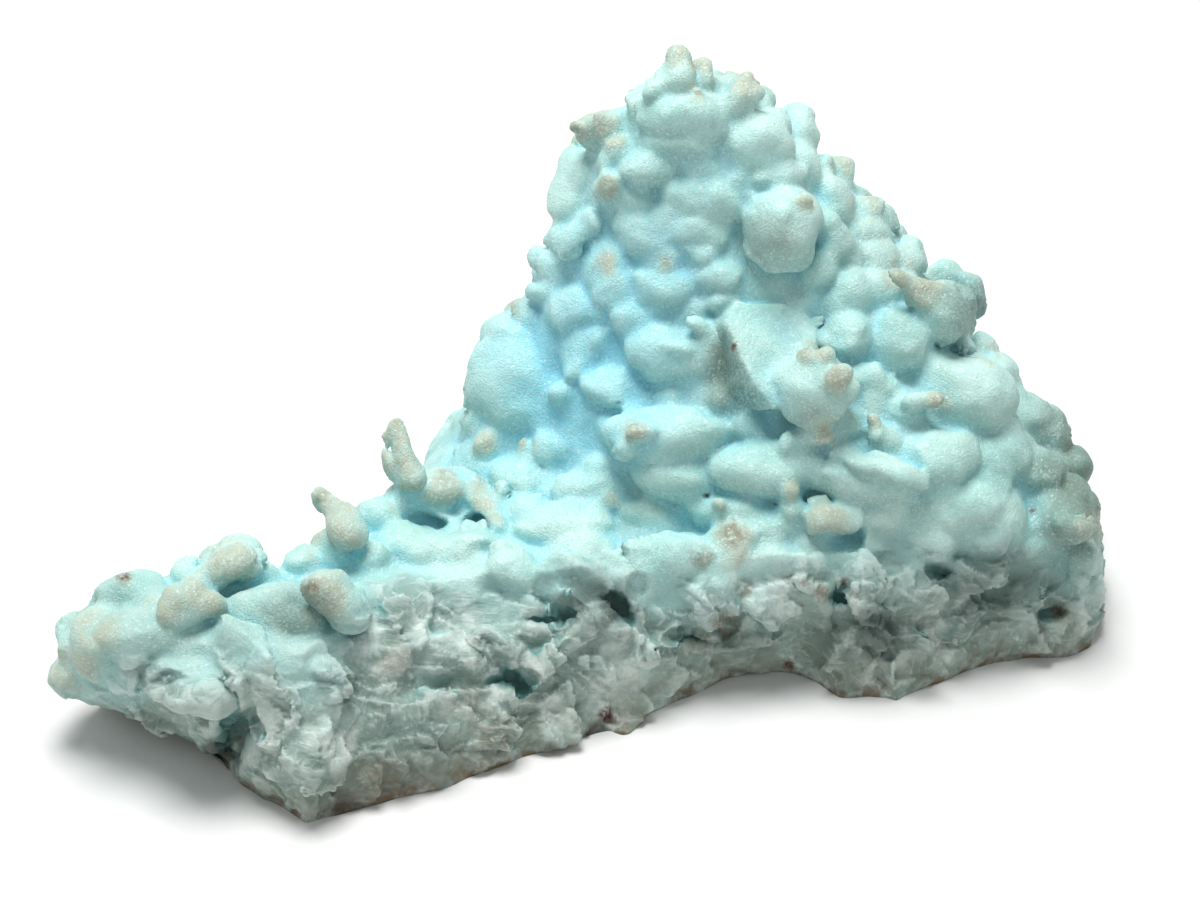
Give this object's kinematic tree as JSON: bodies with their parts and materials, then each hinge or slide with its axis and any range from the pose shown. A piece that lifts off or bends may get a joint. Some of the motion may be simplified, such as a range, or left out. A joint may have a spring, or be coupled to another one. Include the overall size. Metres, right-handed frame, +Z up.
{
  "type": "aragonite specimen",
  "caption": "Natural cluster of pale blue aragonite: a hill of rounded lobes and stubby stalactites on a thick plate with rough broken sides, cut flat below to rest.",
  "frame": {"origin": "centre of the bounding box, on the flat cut that the specimen rests on", "axes": "+Z up, +X along the specimen's length away from its low tail, -Y out of the rough broken front"},
  "size_m": [0.1799, 0.1183, 0.0968],
  "materials": {
    "blue_aragonite": "sugary matt crust, sky blue in the hollows, with cream tips and gray-green broken sides"
  },
  "bodies": {
    "root": {"aragonite_cluster": "blue_aragonite"}
  },
  "joints": []
}
